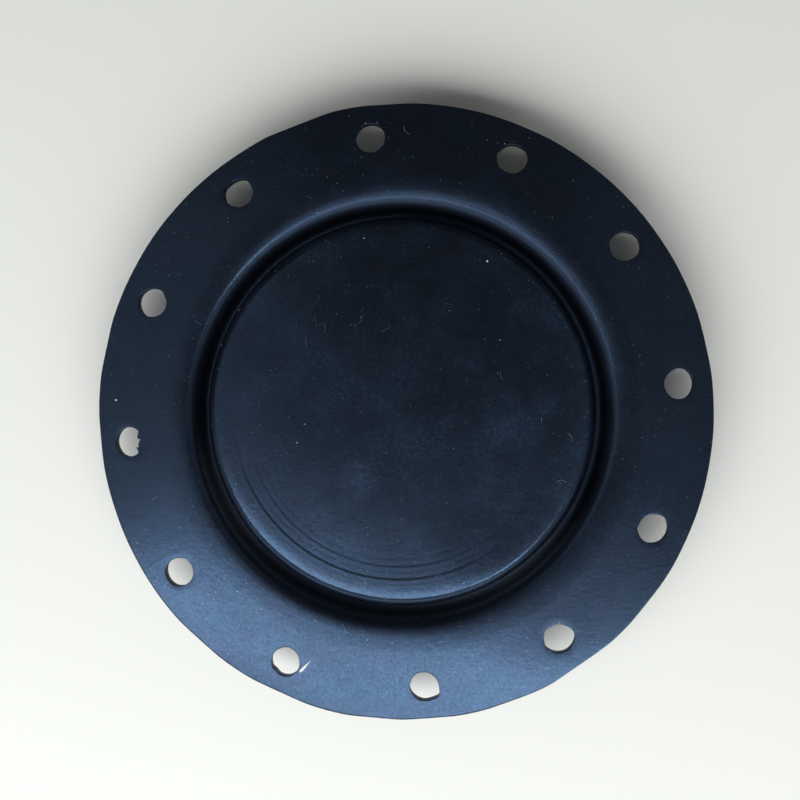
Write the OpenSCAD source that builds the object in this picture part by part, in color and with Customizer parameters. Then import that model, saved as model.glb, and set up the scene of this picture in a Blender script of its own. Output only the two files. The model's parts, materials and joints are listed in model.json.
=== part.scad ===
// Moulded rubber valve diaphragm. A flat bolting flange and a flat centre disc are joined
// by one deep convolution, a groove on the upper side that hangs below as a round bead.
// The origin is the centre of the bolt circle, on the upper face of the flange.

/* [Bolting] */
// Diameter of the bolt circle
bolt_circle_d = 134.5; // [110:0.5:200]
// Number of bolt holes
bolt_count = 12; // [4:1:16]
// Diameter of each bolt hole
bolt_hole_d = 7; // [4:0.1:9]
// Angle of the first bolt hole from the X axis
bolt_phase = 5.9; // [0:0.1:30]

/* [Flange] */
// Thickness of the flange
flange_t = 3; // [2:0.1:5]
// Width from the bolt circle out to the rim
rim_margin = 8; // [6:0.1:15]
// Width of flat flange from the bolt circle in to where its shoulder starts to fall
land_w = 10.8; // [6:0.1:16]
// Depth of the deepest flat left by trimming the rim by hand
trim_depth = 0.7; // [0.1:0.1:1.2]

/* [Convolution] */
// Width of the groove between its two upright walls
groove_w = 2.9; // [2:0.1:5]
// Depth of the groove below the flange's upper face
groove_depth = 8; // [6:0.5:14]
// Thickness of the rubber around the groove
web_t = 3; // [2:0.1:4]
// Large radius by which the flange's shoulder starts to fall towards the groove
shoulder_r = 20; // [10:1:30]
// Slope in degrees where the shoulder runs into the groove's rounded edge
shoulder_turn = 10; // [4:1:14]
// Radius that rounds the shoulder down into the groove
flange_edge_r = 3; // [1.5:0.1:4]
// Radius in the corner between the flange's underside and the bead
bead_corner_r = 2.5; // [0.5:0.1:3]

/* [Centre disc] */
// Thickness of the centre disc
disc_t = 3; // [2:0.1:5]
// Radius that rounds the disc's upper edge into the groove
disc_edge_r = 2.4; // [1:0.1:4]
// Radius in the corner between the disc's underside and the bead
disc_corner_r = 1; // [0.5:0.1:2]

/* [Hidden] */

// Radii of the section, worked inwards and outwards from the bolt circle
bolt_circle_r = bolt_circle_d / 2;
rim_r = bolt_circle_r + rim_margin;
shoulder_start_r = bolt_circle_r - land_w;
shoulder_end_r = shoulder_start_r - shoulder_r * sin(shoulder_turn);
groove_out_r = shoulder_end_r - flange_edge_r * (1 - sin(shoulder_turn));
disc_r = groove_out_r - groove_w;
groove_mid_r = (disc_r + groove_out_r) / 2;
bead_in_r = disc_r - web_t;
bead_out_r = groove_out_r + web_t;

// The groove's round bottom, and the height where its walls run into it
groove_round_r = groove_w / 2;
wall_h = groove_depth - groove_round_r;

// The disc's edge is rounded no deeper than the walls are high
disc_round_r = min(disc_edge_r, wall_h);

// Height of the middle of the arc that rounds the shoulder into the groove
edge_mid_z = -shoulder_r * (1 - cos(shoulder_turn)) - flange_edge_r * cos(shoulder_turn);

// Flats left round the rim: the direction each one faces, and its share of trim_depth
TRIM_FLATS = [
    [14, 0.6], [48, 0.3], [70, 0.4], [92, 0.6], [108, 1], [127, 0.45], [143, 0.45],
    [168, 0.75], [185, 0.7], [252, 0.3], [273, 0.65], [292, 0.6], [308, 1], [322, 0.65], [346, 0.4]
];

// How far a cut runs past the face it opens, so that no skin is left
cut_past = 1;
// How far a corner's fill reaches into the rubber behind it
fill_in = 0.2;

// A plain band of the section from one radius to another, between two heights
module band(r_in, r_out, z_low, z_high) {
    translate([r_in, z_low])
        square([r_out - r_in, z_high - z_low]);
}

// The area between a square corner and the arc that rounds it. x_way and y_way, each
// 1 or -1, say which way the area runs from the corner; past is its reach behind it
module corner_area(x, y, r, x_way, y_way, past) {
    difference() {
        translate([x + (x_way > 0 ? -past : -r), y + (y_way > 0 ? -past : -r)])
            square(r + past);
        translate([x + x_way * r, y + y_way * r])
            circle(r, $fn = 96);
    }
}

// The rubber of the section, with the groove still filled
module section_body() {
    band(0, disc_r, -disc_t, 0);
    band(groove_mid_r, rim_r, -flange_t, 0);
    band(bead_in_r, bead_out_r, -wall_h, 0);
    translate([groove_mid_r, -wall_h])
        circle(groove_round_r + web_t, $fn = 96);
    corner_area(bead_in_r, -disc_t, disc_corner_r, -1, -1, fill_in);
    corner_area(bead_out_r, -flange_t, bead_corner_r, 1, -1, fill_in);
}

// The rubber left under the flange's shoulder: the gentle arc, then the tighter one beside
// the groove, each kept to its own stretch of the section
module shoulder_rubber() {
    intersection() {
        translate([shoulder_start_r, -shoulder_r])
            circle(shoulder_r, $fn = 360);
        band(shoulder_end_r, shoulder_start_r + fill_in, edge_mid_z - fill_in, cut_past);
    }
    intersection() {
        translate([groove_out_r + flange_edge_r, edge_mid_z])
            circle(flange_edge_r, $fn = 96);
        band(groove_out_r - fill_in, shoulder_end_r, edge_mid_z - fill_in, cut_past);
    }
}

// What is open above the groove: the slot, its round bottom and the two rounded edges
module section_groove() {
    band(disc_r, groove_out_r, -wall_h, cut_past);
    translate([groove_mid_r, -wall_h])
        circle(groove_round_r, $fn = 96);
    corner_area(disc_r, 0, disc_round_r, -1, -1, fill_in);
    difference() {
        band(groove_out_r - fill_in, shoulder_start_r, edge_mid_z, cut_past);
        shoulder_rubber();
    }
}

// The moulding as it leaves its mould, turned from the section
module moulding() {
    rotate_extrude($fn = 180)
        difference() {
            section_body();
            section_groove();
        }
}

// The ring of bolt holes, punched straight through the flange
module bolt_holes() {
    for (i = [0 : bolt_count - 1])
        rotate([0, 0, bolt_phase + i * 360 / bolt_count])
            translate([bolt_circle_r, 0, -flange_t - cut_past])
                cylinder(d = bolt_hole_d, h = flange_t + 2 * cut_past, $fn = 48);
}

// The slivers cut off the rim where the flash was trimmed by hand
module rim_trimmings() {
    flat_w = rim_r / 2;
    for (flat = TRIM_FLATS)
        rotate([0, 0, flat[0]])
            translate([rim_r - trim_depth * flat[1], -flat_w / 2, -flange_t - cut_past])
                cube([trim_depth + cut_past, flat_w, flange_t + 2 * cut_past]);
}

module diaphragm() {
    color([0.10, 0.11, 0.14])
        difference() {
            moulding();
            bolt_holes();
            rim_trimmings();
        }
}

diaphragm();
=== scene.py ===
"""Valve diaphragm: a moulded rubber diaphragm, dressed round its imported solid.

The moulding has a flat bolting flange with punched holes, one deep round-bottomed groove that
hangs below as a bead, and a plain centre disc. Lengths are in metres, in the part's own frame:
the origin is the centre of the bolt circle on the flange's upper face, and +Z leaves that face.
"""
import json
import math
from collections import namedtuple

import bpy
from bpy.props import FloatProperty, FloatVectorProperty, IntProperty, PointerProperty
from mathutils import Matrix, Vector, noise


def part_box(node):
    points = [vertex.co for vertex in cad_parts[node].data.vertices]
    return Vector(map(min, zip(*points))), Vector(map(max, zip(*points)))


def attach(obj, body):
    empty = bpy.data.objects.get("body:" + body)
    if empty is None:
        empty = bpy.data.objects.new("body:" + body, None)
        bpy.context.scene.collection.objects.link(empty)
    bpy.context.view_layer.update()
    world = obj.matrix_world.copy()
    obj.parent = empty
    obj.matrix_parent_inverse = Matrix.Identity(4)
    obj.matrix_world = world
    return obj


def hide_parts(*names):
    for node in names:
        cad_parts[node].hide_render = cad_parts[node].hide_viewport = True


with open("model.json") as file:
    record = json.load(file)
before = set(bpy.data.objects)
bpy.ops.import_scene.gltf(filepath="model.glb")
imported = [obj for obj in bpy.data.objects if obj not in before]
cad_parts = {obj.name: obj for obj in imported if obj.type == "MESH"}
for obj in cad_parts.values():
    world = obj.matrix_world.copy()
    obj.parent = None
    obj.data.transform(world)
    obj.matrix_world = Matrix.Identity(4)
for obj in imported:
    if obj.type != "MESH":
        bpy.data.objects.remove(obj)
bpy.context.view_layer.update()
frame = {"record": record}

bl_info = {
    "name": "Valve Diaphragm",
    "version": (1, 0, 0),
    "blender": (4, 5, 0),
    "location": "View3D > Sidebar > Diaphragm",
    "description": "Builds a moulded rubber valve diaphragm with its punched holes, wear and dust",
    "category": "Add Mesh",
}

MM = 0.001
NODE = "diaphragm"
MOULDING = "diaphragm_moulding"
BODY = "root"

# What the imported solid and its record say
BOX_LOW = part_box(NODE)[0]
MOUNTS = {mount["name"]: mount for mount in frame["record"]["mounts"]}
BOLT_DIMS = MOUNTS["bolt_circle"]["dims"]
FLANGE_T = -MOUNTS["flange_under"]["pos_m"][2]
BEAD_DEPTH = -BOX_LOW[2]


def linear(hex_colour):
    """An sRGB hex colour as the linear RGBA that Blender's sockets take."""
    channels = [int(hex_colour[i:i + 2], 16) / 255 for i in (1, 3, 5)]
    return (*[c / 12.92 if c <= 0.04045 else ((c + 0.055) / 1.055) ** 2.4 for c in channels], 1.0)


def add_node(tree, kind, inputs=None, **settings):
    """Adds a node, applies its settings, then sets or links its inputs by name or index.

    A node given for an input stands for its first output.
    """
    node = tree.nodes.new(kind)
    for name, value in settings.items():
        setattr(node, name, value)
    for key, value in (inputs or {}).items():
        if isinstance(value, bpy.types.Node):
            value = value.outputs[0]
        if isinstance(value, bpy.types.NodeSocket):
            tree.links.new(value, node.inputs[key])
        else:
            node.inputs[key].default_value = value
    return node


class DiaphragmSizes(bpy.types.PropertyGroup):
    """Sizes of the moulding, as the solid has them."""
    bolt_circle_r: FloatProperty(
        name="Bolt circle radius", description="From the axis to the middle of each hole",
        default=BOLT_DIMS["pcd_mm"] / 2 * MM, min=0.02, precision=5, unit="LENGTH")
    hole_count: IntProperty(
        name="Bolt holes", description="How many holes are punched round the flange",
        default=BOLT_DIMS["count"], min=3, max=24)
    hole_r: FloatProperty(
        name="Hole radius", description="Radius of each punched hole",
        default=BOLT_DIMS["hole_r_mm"] * MM, min=0.001, precision=5, unit="LENGTH")
    hole_phase: FloatProperty(
        name="Hole phase", description="Turn of the first hole from the X axis",
        default=math.radians(5.9), subtype="ANGLE")
    rim_r: FloatProperty(
        name="Rim radius", description="Radius of the rim before its flats were trimmed",
        default=75.25 * MM, min=0.03, precision=5, unit="LENGTH")
    flange_t: FloatProperty(
        name="Flange thickness", description="Thickness of the bolting flange",
        default=FLANGE_T, min=0.001, precision=5, unit="LENGTH")
    disc_r: FloatProperty(
        name="Disc radius", description="Radius of the centre disc at its upright side",
        default=47.6 * MM, min=0.01, precision=5, unit="LENGTH")
    disc_t: FloatProperty(
        name="Disc thickness", description="Thickness of the centre disc",
        default=3.0 * MM, min=0.001, precision=5, unit="LENGTH")
    disc_edge_r: FloatProperty(
        name="Disc edge radius", description="Radius that rounds the disc's upper edge",
        default=2.4 * MM, min=0.0005, precision=5, unit="LENGTH")
    disc_corner_r: FloatProperty(
        name="Disc corner radius", description="Radius in the corner under the disc",
        default=1.0 * MM, min=0.0002, precision=5, unit="LENGTH")
    groove_w: FloatProperty(
        name="Groove width", description="Width of the groove between its upright walls",
        default=2.9 * MM, min=0.001, precision=5, unit="LENGTH")
    web_t: FloatProperty(
        name="Web thickness", description="Thickness of the rubber round the groove",
        default=3.0 * MM, min=0.001, precision=5, unit="LENGTH")
    flange_edge_r: FloatProperty(
        name="Flange edge radius", description="Radius that rounds the flange into the groove",
        default=3.0 * MM, min=0.0005, precision=5, unit="LENGTH")
    shoulder_r: FloatProperty(
        name="Shoulder radius", description="Large radius by which the flange starts to fall",
        default=20.0 * MM, min=0.001, precision=5, unit="LENGTH")
    shoulder_turn: FloatProperty(
        name="Shoulder turn", description="How steep the shoulder is where the edge radius starts",
        default=math.radians(10), subtype="ANGLE")
    bead_corner_r: FloatProperty(
        name="Bead corner radius", description="Radius between the flange's underside and the bead",
        default=2.5 * MM, min=0.0002, precision=5, unit="LENGTH")


class RubberFinish(bpy.types.PropertyGroup):
    """Colours and gloss of the rubber and of what lies on it."""
    rubber: FloatVectorProperty(
        name="Rubber", description="Carbon-black rubber, clean", subtype="COLOR", size=4,
        default=linear("#0A0A0D"), min=0, max=1)
    film: FloatVectorProperty(
        name="Film", description="Thin grey film of dust and mould release", subtype="COLOR",
        size=4, default=linear("#304462"), min=0, max=1)
    gloss_tint: FloatVectorProperty(
        name="Gloss tint", description="Cool tint of the rubber's gloss", subtype="COLOR", size=4,
        default=linear("#9FCBFF"), min=0, max=1)
    gloss_tint_warm: FloatVectorProperty(
        name="Gloss tint, warm", description="Tint of the gloss where the film is greasy",
        subtype="COLOR", size=4, default=linear("#A4C8FF"), min=0, max=1)
    # The same pale colour is also laid low in the groove's shaded side as painted glare
    dust: FloatVectorProperty(
        name="Dust", description="Pale dust in fine specks", subtype="COLOR", size=4,
        default=linear("#8C949C"), min=0, max=1)
    roughness: FloatProperty(
        name="Roughness", description="Roughness of the mould's satin skin", default=0.215,
        min=0, max=1, subtype="FACTOR")


class DirtAmounts(bpy.types.PropertyGroup):
    """How much has settled on the rubber."""
    grit: FloatProperty(
        name="Grit", description="Grains of grit on each square metre of upper face",
        default=60000, min=0)
    lint: FloatProperty(
        name="Lint", description="Threads of lint on each square metre of upper face",
        default=3500, min=0)
    seed: IntProperty(
        name="Seed", description="Where the grit and lint fall", default=4, min=0)


class StageLook(bpy.types.PropertyGroup):
    """The floor's colour, and how bright the lamps and the room are."""
    floor: FloatVectorProperty(
        name="Floor", description="Colour of the plain floor", subtype="COLOR", size=4,
        default=linear("#F6F6F0"), min=0, max=1)
    lamp_level: FloatProperty(
        name="Lamp level", description="Multiplies the brightness of all lamps", default=1.0,
        min=0)
    world_level: FloatProperty(
        name="Room level", description="Brightness of the room as gloss mirrors it",
        default=0.036, min=0, max=1)
    fill_level: FloatProperty(
        name="Fill level", description="Light of the room on matt surfaces", default=0.12,
        min=0, max=1)


# A point of the section, by its radius and height, and the angles of a slice's columns, with
# the first and the last column of its patch round the hole
Point = namedtuple("Point", "r z")
Column = namedtuple("Column", "angles patch_start patch_stop")

# Cells of the slice: how finely each stretch is divided
PATCH_CELLS = 16
GAP_CELLS = 10
# How near two points of neighbouring slices are to become one
WELD_WITHIN = 0.002 * MM
# Radii that round the rim's and the holes' edges
RIM_ROUND_R = 0.12 * MM
HOLE_ROUND_R = 0.12 * MM
# Half the width of the band of flange that the holes lie in, and of the patch round each hole
BAND_HALF = 5.75 * MM
# Where the loops of a patch lie: the share left of the way from its square edge to the hole
PATCH_LAYERS = (0.8, 0.62, 0.46, 0.32, 0.2, 0.1, 0.04)


def spread(start, stop, steps):
    """Evenly spaced values after start, up to and including stop."""
    return [start + (stop - start) * i / steps for i in range(1, steps + 1)]


def arc(centre, radius, start, stop, steps):
    """Points of an arc after its start, up to and including its stop, angles in degrees."""
    turns = [math.radians(a) for a in spread(start, stop, steps)]
    return [Point(centre.r + radius * math.cos(a), centre.z + radius * math.sin(a)) for a in turns]


def flat(z, start, stop, steps):
    """Points along a level stretch of the section."""
    return [Point(r, z) for r in spread(start, stop, steps)]


def upright(r, start, stop, steps):
    """Points along an upright stretch of the section."""
    return [Point(r, z) for z in spread(start, stop, steps)]


class MeshDraft:
    """Vertices and faces of a skin that is laid down ring by ring, always outwards first."""

    def __init__(self):
        self.points = []
        self.faces = []

    def add(self, x, y, z):
        """Adds a vertex and returns its index."""
        self.points.append((x, y, z))
        return len(self.points) - 1

    def ring(self, point, angles):
        """Adds a point of the section at each angle about the axis."""
        return [self.add(point.r * math.cos(a), point.r * math.sin(a), point.z) for a in angles]

    def bridge(self, before, after, closed=False):
        """Quads between two rings of vertices, with their front on the left of the way along."""
        last = len(before) if closed else len(before) - 1
        for i in range(last):
            j = (i + 1) % len(before)
            self.faces.append((before[i], after[i], after[j], before[j]))

    def mesh(self, name):
        """The draft as a Blender mesh."""
        mesh = bpy.data.meshes.new(name)
        mesh.from_pydata(self.points, [], self.faces)
        mesh.update()
        return mesh


def slice_columns(sizes):
    """Angles of the slice's columns, close together where its hole is."""
    half_slice = math.pi / sizes.hole_count
    half_patch = BAND_HALF / sizes.bolt_circle_r
    angles = [-half_slice] + spread(-half_slice, -half_patch, GAP_CELLS)
    angles += spread(-half_patch, half_patch, PATCH_CELLS) + spread(half_patch, half_slice, GAP_CELLS)
    return Column(angles, GAP_CELLS, GAP_CELLS + PATCH_CELLS)


def section(sizes):
    """The section's points: above from the axis to the holed band, round the rim, and back below.

    The last number of each stretch says how many cells it is divided into.
    """
    band_in, band_out = sizes.bolt_circle_r - BAND_HALF, sizes.bolt_circle_r + BAND_HALF
    groove_out_r = sizes.disc_r + sizes.groove_w
    groove_mid = (sizes.disc_r + groove_out_r) / 2
    round_r = sizes.groove_w / 2
    wall_z = -(BEAD_DEPTH - sizes.web_t - round_r)
    bead_in, bead_out = sizes.disc_r - sizes.web_t, groove_out_r + sizes.web_t
    edge, brink, turn = sizes.disc_edge_r, sizes.flange_edge_r, sizes.shoulder_turn
    brink_mid = Point(groove_out_r + brink,
                      -brink * math.cos(turn) - sizes.shoulder_r * (1 - math.cos(turn)))
    land_r = brink_mid.r + (sizes.shoulder_r - brink) * math.sin(turn)
    corner, foot = sizes.disc_corner_r, sizes.bead_corner_r
    under, disc_under = -sizes.flange_t, -sizes.disc_t

    above = flat(0, 0, sizes.disc_r - edge, 24)
    above += arc(Point(sizes.disc_r - edge, -edge), edge, 90, 0, 12)
    above += upright(sizes.disc_r, -edge, wall_z, 3)
    above += arc(Point(groove_mid, wall_z), round_r, 180, 360, 14)
    above += upright(groove_out_r, wall_z, brink_mid.z, 3)
    above += arc(brink_mid, brink, 180, 90 + math.degrees(turn), 14)
    above += arc(Point(land_r, -sizes.shoulder_r), sizes.shoulder_r, 90 + math.degrees(turn), 90, 10)
    above += flat(0, land_r, band_in, 10)

    lip = RIM_ROUND_R
    inside_lip = sizes.rim_r - 3 * lip
    rim = flat(0, band_out, inside_lip, 2) + flat(0, inside_lip, sizes.rim_r - lip, 1)
    rim += arc(Point(sizes.rim_r - lip, -lip), lip, 90, 0, 3)
    rim += upright(sizes.rim_r, -lip, under + lip, 4)
    rim += arc(Point(sizes.rim_r - lip, under + lip), lip, 0, -90, 3)
    rim += flat(under, sizes.rim_r - lip, inside_lip, 1) + flat(under, inside_lip, band_out, 2)

    below = flat(under, band_in, bead_out + foot, 3)
    below += arc(Point(bead_out + foot, under - foot), foot, 90, 180, 6)
    below += upright(bead_out, under - foot, wall_z, 1)
    below += arc(Point(groove_mid, wall_z), round_r + sizes.web_t, 0, -180, 18)
    below += upright(bead_in, wall_z, disc_under - corner, 2)
    below += arc(Point(bead_in - corner, disc_under - corner), corner, 0, 90, 4)
    below += flat(disc_under, bead_in - corner, 0, 11)[:-1]
    return above, rim, below


def hole_patch(draft, sizes, above_edge, below_edge):
    """The flange round one hole and the hole's wall, between the patch's two square edges."""
    sides = len(above_edge)
    turns = [math.radians(225) - math.tau * i / sides for i in range(sides)]

    def hole_loop(radius, z):
        return [draft.add(sizes.bolt_circle_r + radius * math.cos(a), radius * math.sin(a), z)
                for a in turns]

    def layers(edge, z):
        """Loops from the patch's edge in to just outside the hole's rounded mouth."""
        mouth = sizes.hole_r + HOLE_ROUND_R
        loops = [edge]
        for share in PATCH_LAYERS:
            loop = []
            for i, a in enumerate(turns):
                x, y, _ = draft.points[edge[i]]
                hole_x = sizes.bolt_circle_r + mouth * math.cos(a)
                hole_y = mouth * math.sin(a)
                loop.append(draft.add(hole_x + (x - hole_x) * share, hole_y + (y - hole_y) * share, z))
            loops.append(loop)
        return loops

    lip, under = HOLE_ROUND_R, -sizes.flange_t
    loops = layers(above_edge, 0)
    mouth = [Point(sizes.hole_r + lip, 0)] + arc(Point(sizes.hole_r + lip, -lip), lip, 90, 180, 3)
    wall = upright(sizes.hole_r, -lip, under + lip, 4)
    foot = arc(Point(sizes.hole_r + lip, under + lip), lip, 180, 270, 3)
    loops += [hole_loop(point.r, point.z) for point in mouth + wall + foot]
    loops += reversed(layers(below_edge, under))
    for before, after in zip(loops, loops[1:]):
        draft.bridge(before, after, closed=True)


def holed_band(draft, sizes, columns, inner, outer, z):
    """The band of flange that the holes lie in, without its patch. Returns the patch's edge."""
    radii = spread(sizes.bolt_circle_r - BAND_HALF, sizes.bolt_circle_r + BAND_HALF, PATCH_CELLS)
    start, stop = columns.patch_start, columns.patch_stop
    left, right = columns.angles[:start + 1], columns.angles[stop:]
    rows = [(inner[:start + 1], inner[stop:])]
    rows += [(draft.ring(Point(r, z), left), draft.ring(Point(r, z), right)) for r in radii[:-1]]
    rows.append((outer[:start + 1], outer[stop:]))
    for before, after in zip(rows, rows[1:]):
        for side in (0, 1):
            if z == 0:
                draft.bridge(before[side], after[side])
            else:
                draft.bridge(after[side], before[side])
    edge = inner[start:stop] + [row[1][0] for row in rows[:-1]]
    edge += list(reversed(outer[start + 1:stop + 1])) + [row[0][-1] for row in reversed(rows[1:])]
    return edge


def slice_mesh(sizes):
    """One slice of the moulding, with one hole in the middle of its flange."""
    draft = MeshDraft()
    columns = slice_columns(sizes)
    above, rim, below = section(sizes)
    above_rings = [draft.ring(point, columns.angles) for point in above]
    band_top = draft.ring(Point(sizes.bolt_circle_r + BAND_HALF, 0), columns.angles)
    rim_rings = [band_top] + [draft.ring(point, columns.angles) for point in rim]
    band_under = draft.ring(Point(sizes.bolt_circle_r - BAND_HALF, -sizes.flange_t), columns.angles)
    below_rings = [band_under] + [draft.ring(point, columns.angles) for point in below]
    for rings in (above_rings, rim_rings, below_rings):
        for before, after in zip(rings, rings[1:]):
            draft.bridge(before, after)
    above_edge = holed_band(draft, sizes, columns, above_rings[-1], band_top, 0)
    below_edge = holed_band(draft, sizes, columns, band_under, rim_rings[-1], -sizes.flange_t)
    hole_patch(draft, sizes, above_edge, below_edge)
    for ring, z, front in ((above_rings[0], 0, 1), (below_rings[-1], -sizes.disc_t, -1)):
        centre = draft.add(0, 0, z)
        for i in range(len(ring) - 1):
            draft.faces.append((centre, ring[i], ring[i + 1])[::front])
    return draft.mesh("moulding_slice")


def repeat_tree():
    """Geometry Nodes tree that turns copies of a slice round the axis into one closed skin."""
    tree = bpy.data.node_groups.new("repeat_slice_round_axis", "GeometryNodeTree")
    face = tree.interface
    face.new_socket("Geometry", in_out="INPUT", socket_type="NodeSocketGeometry")
    face.new_socket("Slices", in_out="INPUT", socket_type="NodeSocketInt").default_value = 12
    face.new_socket("First Turn", in_out="INPUT", socket_type="NodeSocketFloat")
    face.new_socket("Weld Distance", in_out="INPUT", socket_type="NodeSocketFloat")
    face.new_socket("Material", in_out="INPUT", socket_type="NodeSocketMaterial")
    face.new_socket("Geometry", in_out="OUTPUT", socket_type="NodeSocketGeometry")
    given = add_node(tree, "NodeGroupInput").outputs
    points = add_node(tree, "GeometryNodeMeshLine", {"Count": given["Slices"], "Offset": (0, 0, 0)})
    index = add_node(tree, "GeometryNodeInputIndex")
    step = add_node(tree, "ShaderNodeMath", {0: math.tau, 1: given["Slices"]}, operation="DIVIDE")
    turn = add_node(tree, "ShaderNodeMath", {0: index, 1: step, 2: given["First Turn"]},
                    operation="MULTIPLY_ADD")
    about_z = add_node(tree, "ShaderNodeCombineXYZ", {"Z": turn})
    copies = add_node(tree, "GeometryNodeInstanceOnPoints", {
        "Points": points, "Instance": given["Geometry"], "Rotation": about_z})
    real = add_node(tree, "GeometryNodeRealizeInstances", {0: copies})
    weld = add_node(tree, "GeometryNodeMergeByDistance", {
        "Geometry": real, "Distance": given["Weld Distance"]})
    smooth = add_node(tree, "GeometryNodeSetShadeSmooth", {"Geometry": weld})
    finish = add_node(tree, "GeometryNodeSetMaterial", {
        "Geometry": smooth, "Material": given["Material"]})
    add_node(tree, "NodeGroupOutput", {0: finish})
    return tree


def grow(mesh, tree, inputs, name):
    """Runs a Geometry Nodes tree on a mesh and returns the result as a plain object."""
    seed = bpy.data.objects.new(name, mesh)
    bpy.context.scene.collection.objects.link(seed)
    modifier = seed.modifiers.new(name, "NODES")
    modifier.node_group = tree
    for socket in tree.interface.items_tree:
        if socket.in_out == "INPUT" and socket.name in inputs:
            modifier[socket.identifier] = inputs[socket.name]
    result = bpy.data.meshes.new_from_object(seed.evaluated_get(bpy.context.evaluated_depsgraph_get()))
    seed.modifiers.clear()
    seed.data = result
    result.name = name
    bpy.data.meshes.remove(mesh)
    return seed


# Flats left where the rim was trimmed by hand: the way each faces, in degrees, and its depth
# in millimetres
TRIM_FLATS = [
    (12, 0.12), (92, 0.2), (110, 0.55), (168, 0.55), (185, 0.5), (229, 0.2), (247, 0.33),
    (266, 0.3), (275, 0.33), (292, 0.2), (306, 0.45), (322, 0.15),
]
# On one side the knife ran closer all along: the ways, in degrees, over which it came in and
# went out again
CLOSER_TRIM = 0.33 * MM
CLOSER_FROM = (110, 120)
CLOSER_TO = (196, 224)
# Half the turn, in radians, past which a flat no longer reaches the rim
FLAT_HALF_TURN = 0.3
# How far wear rounds the corners between the flats, and how far and how often the knife wavered
RIM_WEAR = 0.09 * MM
KNIFE_WAVER = 0.06 * MM
KNIFE_WAVES = 9

# Where each punch landed against its mark, in millimetres: outwards, and anticlockwise along
# the bolt circle; then how oval it cut, and the direction of the long way in degrees
Punch = namedtuple("Punch", "out along oval oval_way")
PUNCHES = [
    Punch(0.2, 0.1, 0.10, 80), Punch(0.2, 0.5, 0.05, 20), Punch(-0.1, -0.1, 0.10, 0),
    Punch(0.0, 0.0, 0.05, 10), Punch(-0.3, 0.3, 0.08, 30), Punch(-0.3, 0.2, 0.02, 90),
    Punch(0.3, 0.4, 0.10, 90), Punch(0.2, 0.1, 0.04, 110), Punch(0.2, -0.4, 0.06, 120),
    Punch(-0.2, -0.6, 0.08, 150), Punch(-0.4, -0.4, 0.12, 20), Punch(-0.2, -0.3, 0.10, 50),
]
# Marks in the holes' edges: hole, direction in degrees, reach outwards in millimetres (less
# than nothing where rubber was left standing), and half the mark's width in degrees
EDGE_MARKS = [
    (1, 165, 0.3, 16), (1, 135, 0.08, 10), (2, 160, 0.28, 15), (4, 122, -0.3, 26),
    (5, 50, 0.25, 18), (5, 170, 0.12, 30), (5, 270, -0.12, 25), (7, 60, 0.15, 14),
    (8, 205, 0.15, 8), (8, 222, -0.28, 15), (9, 328, 0.5, 20), (10, 28, 0.2, 18),
    (10, 150, 0.15, 16), (10, 215, 0.12, 14), (11, 42, 0.15, 18), (11, 180, 0.15, 8),
]
# How far a punched edge frays all round
FRAY = 0.10 * MM
# Rubber swells under the punch, so each hole is wider underneath, and its mouth is dished
PUNCH_FLARE = 0.28 * MM
MOUTH_DISH = 0.025 * MM
MOUTH_DISH_WIDTH = 0.8 * MM
# One hole is torn: which one, the way of the tear, half its width and how it fades in degrees,
# how far rubber was left standing in the hole, and how ragged it is
TORN_HOLE = 6
TORN_WAY = 0
TORN_HALF = 52
TORN_FADE = 14
TORN_REACH = 1.0 * MM
TORN_RAGS = 0.55 * MM


def ease(value, start, stop):
    """Runs smoothly from 0 at start to 1 at stop."""
    share = min(max((value - start) / (stop - start), 0.0), 1.0)
    return share * share * (3 - 2 * share)


def away(angle, other):
    """How far apart two directions are, in degrees from -180 to 180."""
    return (angle - other + 180) % 360 - 180


def bell(value, width):
    """A soft bump of height 1 over 0, about width to each side."""
    return math.exp(-(value / width) ** 2)


def rim_radius(angle, sizes):
    """The rim's radius in a direction in degrees, with its worn flats and the knife's waver."""
    turn = math.radians(angle)
    waver = noise.noise(Vector((math.cos(turn), math.sin(turn), 0)) * KNIFE_WAVES)
    closer = CLOSER_TRIM * ease(angle % 360, *CLOSER_FROM) * (1 - ease(angle % 360, *CLOSER_TO))
    reaches = [sizes.rim_r - closer]
    for way, depth in TRIM_FLATS:
        apart = math.radians(away(angle, way))
        if abs(apart) < FLAT_HALF_TURN:
            reaches.append((sizes.rim_r - depth * MM) / math.cos(apart))
    lowest = min(reaches)
    worn = RIM_WEAR * math.log(sum(math.exp((lowest - reach) / RIM_WEAR) for reach in reaches))
    return lowest - worn + KNIFE_WAVER * waver


def punched_radius(index, angle, sizes):
    """Radius of one hole in a direction in degrees, as its worn punch cut it."""
    punch = PUNCHES[index % len(PUNCHES)]
    turn = math.radians(angle)
    fray = noise.noise(Vector((math.cos(turn) * 1.5, math.sin(turn) * 1.5, index * 7.3)))
    radius = sizes.hole_r + punch.oval * MM * math.cos(2 * (turn - math.radians(punch.oval_way)))
    radius += FRAY * fray
    for hole, way, reach, width in EDGE_MARKS:
        if hole == index:
            radius += reach * MM * bell(away(angle, way), width)
    if index == TORN_HOLE:
        torn = 1 - ease(abs(away(angle, TORN_WAY)), TORN_HALF - TORN_FADE, TORN_HALF)
        ragged = noise.noise(Vector((angle / 7, 3.1, 0))) + noise.noise(Vector((angle / 3, 9.7, 0)))
        radius -= torn * (TORN_REACH + TORN_RAGS * ragged)
    return radius


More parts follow.
